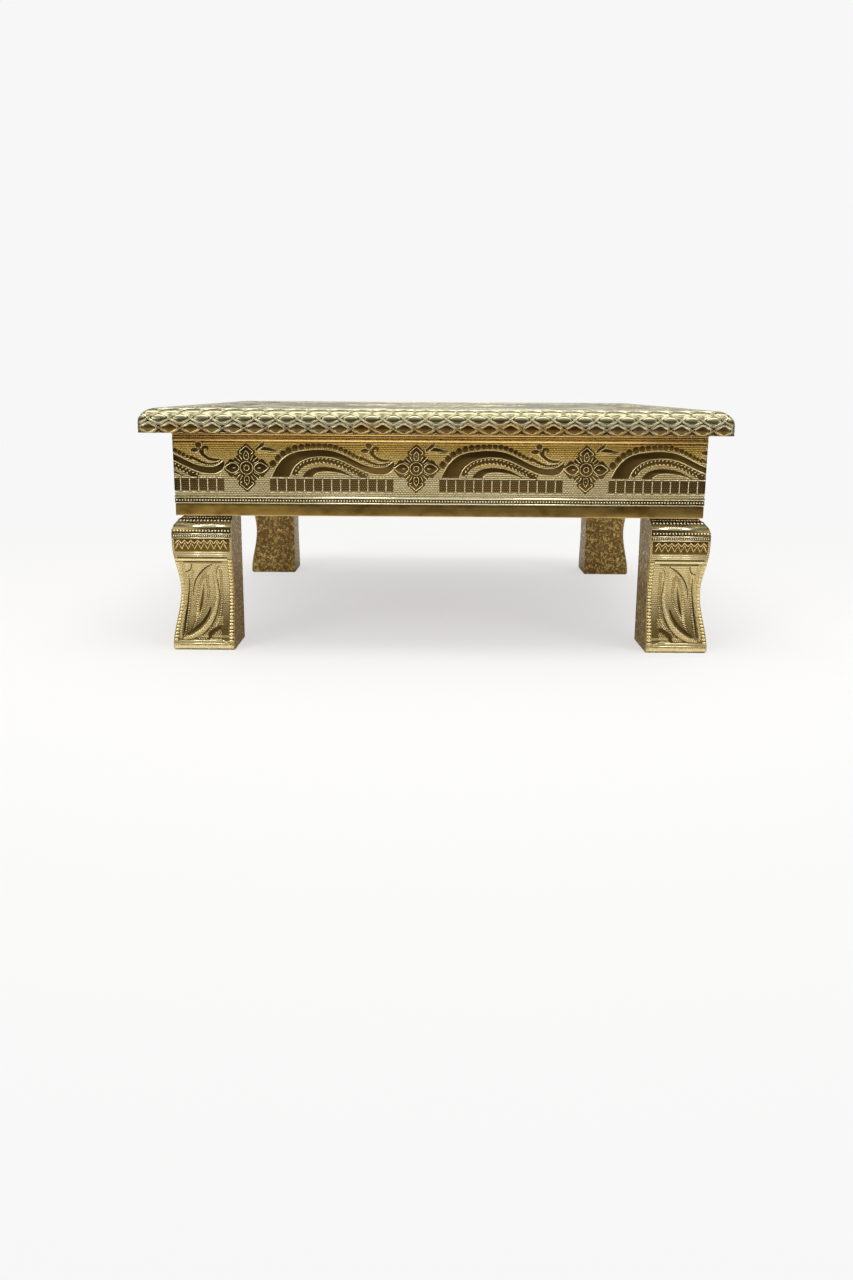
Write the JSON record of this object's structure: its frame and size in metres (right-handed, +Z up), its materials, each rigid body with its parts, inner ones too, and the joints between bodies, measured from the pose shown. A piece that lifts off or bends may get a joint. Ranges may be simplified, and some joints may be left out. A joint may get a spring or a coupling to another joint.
{
  "type": "low tray table",
  "caption": "Low square table on short bracket legs: a wooden board, box and legs clad in embossed brass sheet.",
  "frame": {"origin": "on the floor, under the centre of the board", "axes": "+Z up; the front faces -Y, with +X to the right; the sides are parallel to X and Y"},
  "size_m": [0.38, 0.38, 0.16],
  "materials": {
    "embossed_brass": "embossed sheet with polished ridges and burnished dark grounds",
    "plain_brass": "plain rolled sheet, polished, lightly dented",
    "bronze_paint": "wood with hammered bronze paint",
    "wood": "bare sawn and sanded softwood",
    "steel": "zinc plated"
  },
  "bodies": {
    "root": {"board_core": "wood", "top_sheet": "embossed_brass", "edge_strip_front": "embossed_brass", "rail_front": "wood", "frieze_sheet_front": "embossed_brass", "base_strip_front": "plain_brass", "edge_strip_right": "embossed_brass", "rail_right": "wood", "frieze_sheet_right": "embossed_brass", "base_strip_right": "plain_brass", "edge_strip_rear": "embossed_brass", "rail_rear": "wood", "frieze_sheet_rear": "embossed_brass", "base_strip_rear": "plain_brass", "edge_strip_left": "embossed_brass", "rail_left": "wood", "frieze_sheet_left": "embossed_brass", "base_strip_left": "plain_brass", "corner_post_front_left": "wood", "leg_core_front_left": "bronze_paint", "leg_sheet_front_left_front": "embossed_brass", "leg_sheet_front_left_left": "embossed_brass", "board_screw_front_left": "steel", "dowel_screw_front_left": "steel", "corner_post_front_right": "wood", "leg_core_front_right": "bronze_paint", "leg_sheet_front_right_right": "embossed_brass", "leg_sheet_front_right_front": "embossed_brass", "board_screw_front_right": "steel", "dowel_screw_front_right": "steel", "corner_post_rear_right": "wood", "leg_core_rear_right": "bronze_paint", "leg_sheet_rear_right_rear": "embossed_brass", "leg_sheet_rear_right_right": "embossed_brass", "board_screw_rear_right": "steel", "dowel_screw_rear_right": "steel", "corner_post_rear_left": "wood", "leg_core_rear_left": "bronze_paint", "leg_sheet_rear_left_left": "embossed_brass", "leg_sheet_rear_left_rear": "embossed_brass", "board_screw_rear_left": "steel", "dowel_screw_rear_left": "steel"}
  },
  "joints": []
}
